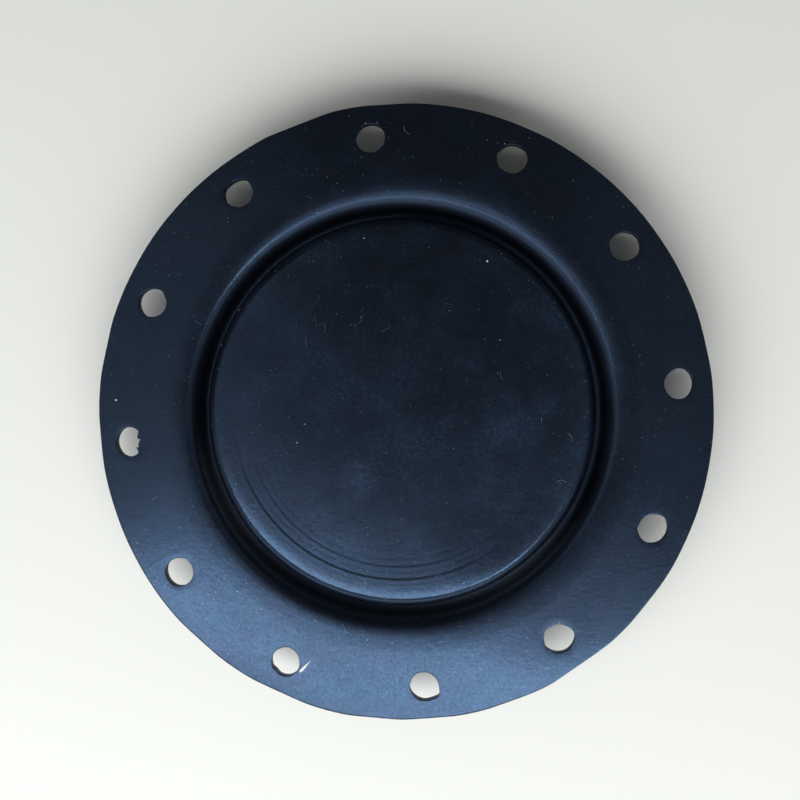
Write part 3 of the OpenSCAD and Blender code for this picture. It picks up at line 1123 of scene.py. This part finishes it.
class DIAPHRAGM_OT_crumbs(bpy.types.Operator):
    """Lay the larger crumbs and threads where they were, and the white flake by its hole"""
    bl_idname = "diaphragm.crumbs"
    bl_label = "Crumbs, Threads and Flake"

    def execute(self, context):
        self.crumbs()
        self.threads()
        self.flake()
        return {"FINISHED"}

    def keep(self, draft, name, material):
        """Turns a draft into a piece that rides on the part's body."""
        mesh = draft.mesh(name)
        mesh.materials.append(material)
        piece = bpy.data.objects.new(name, mesh)
        bpy.context.scene.collection.objects.link(piece)
        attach(piece, BODY)

    def crumbs(self):
        """Uneven little lumps, each a closed hull of two rings and two poles."""
        draft = MeshDraft()
        for index, (x, y, size) in enumerate(CRUMBS):
            half = size / 2 * MM
            centre = Vector((x * MM, y * MM, 0))
            centre.z = resting_height(centre.x, centre.y) + CRUMB_RAISED * half
            poles = [draft.add(*(centre + Vector((0, 0, high * half)))) for high in CRUMB_POLES]
            rings = []
            for level, wide in CRUMB_RINGS:
                ring = []
                for i in range(CRUMB_SIDES):
                    turn = math.tau * i / CRUMB_SIDES
                    jut = 1 + CRUMB_JUT * noise.noise(Vector((i * 1.7, level * 3, index * 5.1)))
                    ring.append(draft.add(centre.x + half * wide * jut * math.cos(turn),
                                          centre.y + half * wide * jut * math.sin(turn),
                                          centre.z + half * level))
                rings.append(ring)
            draft.bridge(rings[1], rings[0], closed=True)
            for i in range(CRUMB_SIDES):
                j = (i + 1) % CRUMB_SIDES
                draft.faces.append((poles[0], rings[0][j], rings[0][i]))
                draft.faces.append((poles[1], rings[1][i], rings[1][j]))
        self.keep(draft, "loose_crumbs", plain_material("dry_chalky_crumbs", "#C9CFCB", 0.8))

    def threads(self):
        """Thin three-sided threads that wave from side to side over the rubber."""
        draft = MeshDraft()
        for index, (x, y, length, way) in enumerate(THREADS):
            along = Vector((math.cos(math.radians(way)), math.sin(math.radians(way)), 0))
            side = Vector((-along.y, along.x, 0))
            rings = []
            for i in range(THREAD_STEPS + 1):
                share = i / THREAD_STEPS - 0.5
                wave = noise.noise(Vector((share * 3, index * 3.3, 0))) * THREAD_WAVE * length * MM
                spine = Vector((x, y, 0)) * MM + along * share * length * MM + side * wave
                spine.z = resting_height(spine.x, spine.y) + THREAD_HALF_T
                rings.append([draft.add(*(spine + side * THREAD_HALF_T * math.cos(t)
                                          + Vector((0, 0, THREAD_HALF_T * math.sin(t)))))
                              for t in (0, math.tau / 3, 2 * math.tau / 3)])
            for before, after in zip(rings, rings[1:]):
                draft.bridge(before, after, closed=True)
            draft.faces.append(tuple(rings[0]))
            draft.faces.append(tuple(reversed(rings[-1])))
        self.keep(draft, "loose_threads", plain_material("grey_lint_thread", "#687D90", 0.8))

    def flake(self):
        """A thin flat sliver, blunt at one end and drawn out to a point at the other."""
        draft = MeshDraft()
        along = FLAKE_TO - FLAKE_FROM
        side = Vector((-along.y, along.x, 0)).normalized()
        base = max(resting_height(*(FLAKE_FROM + along * share)[:2]) for share in (0.1, 0.5, 0.9))
        low = base + FLAKE_GAP
        high = low + FLAKE_T
        rings = []
        for i in range(1, FLAKE_STEPS):
            share = i / FLAKE_STEPS
            half = FLAKE_HALF_WIDTH * math.sin(math.pi * share ** 0.5)
            spine = FLAKE_FROM + along * share
            corners = [spine - side * half, spine + side * half]
            rings.append([draft.add(corners[0].x, corners[0].y, low),
                          draft.add(corners[1].x, corners[1].y, low),
                          draft.add(corners[1].x, corners[1].y, high),
                          draft.add(corners[0].x, corners[0].y, high)])
        for before, after in zip(rings, rings[1:]):
            draft.bridge(before, after, closed=True)
        for ring, end, front in ((rings[0], FLAKE_FROM, 1), (rings[-1], FLAKE_TO, -1)):
            tip = draft.add(end.x, end.y, low + FLAKE_T / 2)
            for i in range(4):
                draft.faces.append((tip, ring[i], ring[(i + 1) % 4])[::front])
        self.keep(draft, "white_flake", plain_material("dried_white_sealant", "#F7F8F6", 0.6))


# The camera of the photograph, in the part's frame: where it stands, its tilt, its lens
CAMERA_AT = Vector((16.19, 5.56, 223.54)) * MM
CAMERA_TILT = (math.radians(-0.62), math.radians(4.05), 0)
SENSOR_MM = 36.0
LENS_MM = 41.4
# Nearest distance that the camera sees, in metres
CLIP_START = 0.01

# The soft lamps: distance in metres; lean from overhead, azimuth, half sizes and twist in
# degrees; how far the lamp is slid along its own length, in metres; the radiance of its face;
# whether gloss mirrors it, and whether it lights matt surfaces
Panel = namedtuple(
    "Panel", "name far lean azimuth half_width half_height twist slide radiance mirrored lights")
LAMP_PANELS = [
    Panel("strip_left_end", 1.5, 19.8, 263, 5.71, 2.4, -6, -0.45, 7.3, True, False),
    Panel("strip_left", 1.5, 21.0, 263, 5.71, 2.4, -6, -0.15, 6.6, True, False),
    Panel("strip_right", 1.5, 21.0, 263, 5.71, 2.4, -6, 0.15, 7.2, True, False),
    Panel("strip_right_end", 1.5, 19.8, 263, 5.71, 2.4, -6, 0.45, 10.6, True, False),
    Panel("low_panel_1", 1.5, 58, 200, 13, 14, 0, 0.0, 0.16, True, False),
    Panel("low_panel_2", 1.5, 58, 230, 13, 14, 0, 0.0, 0.54, True, False),
    Panel("low_panel_3", 1.5, 58, 260, 13, 14, 0, 0.0, 0.66, True, False),
    Panel("low_panel_4", 1.5, 58, 290, 13, 14, 0, 0.0, 0.66, True, False),
    Panel("low_panel_5", 1.5, 58, 320, 13, 14, 0, 0.0, 0.26, True, False),
    Panel("side_fill_right", 1.5, 34, 0, 25, 24, 0, 0.0, 0.085, True, False),
    Panel("side_fill_left", 1.5, 30, 182, 17, 17, 0, 0.0, 0.18, True, False),
    Panel("window", 0.72, 51, 258, 56, 24, 0, 0.0, 3.42, False, True),
]
LAMP_COLOUR = "#FAFDFF"

# Half the width of the floor, and where it turns into plain backdrop, measured from the axis
FLOOR_HALF = 3.0
BACKDROP_REACH = (0.145, 0.6)


class DIAPHRAGM_OT_stage(bpy.types.Operator):
    """Make the plain floor, the soft lamps, the room's dim light and the camera"""
    bl_idname = "diaphragm.stage"
    bl_label = "Stage"

    def execute(self, context):
        look = context.scene.stage_look
        self.floor(look)
        for panel in LAMP_PANELS:
            self.lamp(look, panel)
        self.room(look)
        self.camera(context)
        context.scene.view_settings.view_transform = "Standard"
        return {"FINISHED"}

    def floor(self, look):
        """A wide flat board right under the part."""
        mesh = bpy.data.meshes.new("floor")
        corners = [(-1, -1), (1, -1), (1, 1), (-1, 1)]
        mesh.from_pydata([(FLOOR_HALF * x, FLOOR_HALF * y, BOX_LOW[2]) for x, y in corners],
                         [], [(0, 1, 2, 3)])
        floor = bpy.data.objects.new("floor", mesh)
        bpy.context.scene.collection.objects.link(floor)
        mesh.materials.append(self.board(look))

    def board(self, look):
        """Matt painted board. Far from the part the camera sees its plain colour, unshaded."""
        material = bpy.data.materials.new("matt_painted_board")
        material.use_nodes = True
        tree = material.node_tree
        tree.nodes.clear()
        lit = add_node(tree, "ShaderNodeBsdfDiffuse", {"Color": look.floor})
        plain = add_node(tree, "ShaderNodeEmission", {"Color": look.floor, "Strength": 1.0})
        place = add_node(tree, "ShaderNodeTexCoord").outputs["Object"]
        arm = add_node(tree, "ShaderNodeVectorMath", {0: place}, operation="LENGTH").outputs["Value"]
        seen = add_node(tree, "ShaderNodeLightPath").outputs["Is Camera Ray"]
        far = add_node(tree, "ShaderNodeMapRange", {
            "Value": arm, "From Min": BACKDROP_REACH[0], "From Max": BACKDROP_REACH[1]},
            interpolation_type="SMOOTHSTEP")
        fade = add_node(tree, "ShaderNodeMath", {0: far, 1: seen}, operation="MULTIPLY")
        mixed = add_node(tree, "ShaderNodeMixShader", {0: fade, 1: lit, 2: plain})
        add_node(tree, "ShaderNodeOutputMaterial", {"Surface": mixed})
        return material

    def lamp(self, look, panel):
        """One flat lamp that faces the part, as bright as its face's radiance says."""
        lamp = bpy.data.lights.new(panel.name, "AREA")
        lamp.shape = "RECTANGLE"
        lamp.size = 2 * panel.far * math.tan(math.radians(panel.half_width))
        lamp.size_y = 2 * panel.far * math.tan(math.radians(panel.half_height))
        lamp.energy = look.lamp_level * panel.radiance * math.pi * lamp.size * lamp.size_y
        lamp.color = linear(LAMP_COLOUR)[:3]
        lean, azimuth = math.radians(panel.lean), math.radians(panel.azimuth)
        towards = Vector((math.sin(lean) * math.cos(azimuth), math.sin(lean) * math.sin(azimuth),
                          math.cos(lean)))
        side = Vector((-math.sin(azimuth), math.cos(azimuth), 0))
        frame_axes = Matrix((side, towards.cross(side), towards)).transposed().to_4x4()
        piece = bpy.data.objects.new(panel.name, lamp)
        bpy.context.scene.collection.objects.link(piece)
        piece.matrix_world = (Matrix.Translation(towards * panel.far) @ frame_axes
                              @ Matrix.Rotation(math.radians(panel.twist), 4, "Z")
                              @ Matrix.Translation((panel.slide, 0, 0)))
        piece.visible_glossy = panel.mirrored
        piece.visible_diffuse = panel.lights

    def room(self, look):
        """Dim light from all round: the camera sees the backdrop, matt surfaces get more."""
        world = bpy.data.worlds.new("room")
        world.use_nodes = True
        tree = world.node_tree
        background = tree.nodes["Background"]
        path = add_node(tree, "ShaderNodeLightPath").outputs
        dim = add_node(tree, "ShaderNodeMix", {
            "Factor": path["Is Diffuse Ray"], 6: (look.world_level,) * 3 + (1,),
            7: (look.fill_level,) * 3 + (1,)}, data_type="RGBA")
        colour = add_node(tree, "ShaderNodeMix", {
            "Factor": path["Is Camera Ray"], 6: dim.outputs[2], 7: look.floor}, data_type="RGBA")
        tree.links.new(colour.outputs[2], background.inputs["Color"])
        bpy.context.scene.world = world

    def camera(self, context):
        """The camera as it stood over the part."""
        data = bpy.data.cameras.new("camera")
        data.sensor_width = SENSOR_MM
        data.lens = LENS_MM
        data.clip_start = CLIP_START
        camera = bpy.data.objects.new("camera", data)
        context.scene.collection.objects.link(camera)
        camera.location = CAMERA_AT
        camera.rotation_euler = CAMERA_TILT
        context.scene.camera = camera


class DIAPHRAGM_PT_sidebar(bpy.types.Panel):
    """Sizes, finish and stage of the diaphragm, with a button for each piece"""
    bl_label = "Valve Diaphragm"
    bl_space_type = "VIEW_3D"
    bl_region_type = "UI"
    bl_category = "Diaphragm"

    def draw(self, context):
        for name, title in PANEL_GROUPS:
            box = self.layout.box()
            box.label(text=title)
            group = getattr(context.scene, name)
            for field in group.bl_rna.properties:
                if not field.is_readonly and field.identifier != "name":
                    box.prop(group, field.identifier)
        for operator in OPERATORS:
            self.layout.operator(operator.bl_idname)


PANEL_GROUPS = [("diaphragm_sizes", "Sizes"), ("rubber_finish", "Finish"),
                ("dirt_amounts", "Dirt"), ("stage_look", "Stage")]
OPERATORS = [DIAPHRAGM_OT_moulding, DIAPHRAGM_OT_grit, DIAPHRAGM_OT_lint, DIAPHRAGM_OT_crumbs,
             DIAPHRAGM_OT_stage]
GROUPS = [DiaphragmSizes, RubberFinish, DirtAmounts, StageLook]


def register():
    """Registers the groups, the operators and the panel."""
    for cls in GROUPS + OPERATORS + [DIAPHRAGM_PT_sidebar]:
        bpy.utils.register_class(cls)
    for (name, _), group in zip(PANEL_GROUPS, GROUPS):
        setattr(bpy.types.Scene, name, PointerProperty(type=group))


def unregister():
    """Takes everything away again, in the other order."""
    for name, _ in PANEL_GROUPS:
        delattr(bpy.types.Scene, name)
    for cls in reversed(GROUPS + OPERATORS + [DIAPHRAGM_PT_sidebar]):
        bpy.utils.unregister_class(cls)


def main():
    """Registers the classes, then builds every piece and the stage."""
    register()
    for operator in OPERATORS:
        package, name = operator.bl_idname.split(".")
        getattr(getattr(bpy.ops, package), name)()


if __name__ == "__main__":
    main()
